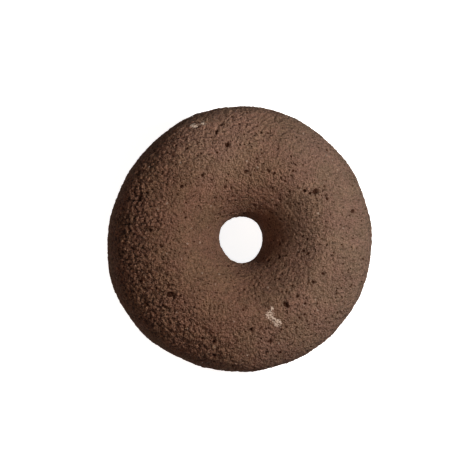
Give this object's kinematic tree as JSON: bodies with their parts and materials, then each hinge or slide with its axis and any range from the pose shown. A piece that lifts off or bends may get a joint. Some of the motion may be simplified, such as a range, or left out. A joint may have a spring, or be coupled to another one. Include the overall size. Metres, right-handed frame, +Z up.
{
  "type": "donut stone",
  "caption": "Hand-pecked stone ring with a rounded rim and an hourglass hole, such as a digging-stick weight or club head; lies flat on its worn underside.",
  "frame": {"origin": "middle of the ring's outline, on the plane its worn underside rests on", "axes": "+Z up through the hole; +X to the right and +Y to the top of the upper face as the picture shows it"},
  "size_m": [0.0852, 0.0856, 0.0397],
  "materials": {
    "brown_stone": "matte"
  },
  "bodies": {
    "root": {"donut_stone": "brown_stone"}
  },
  "joints": []
}
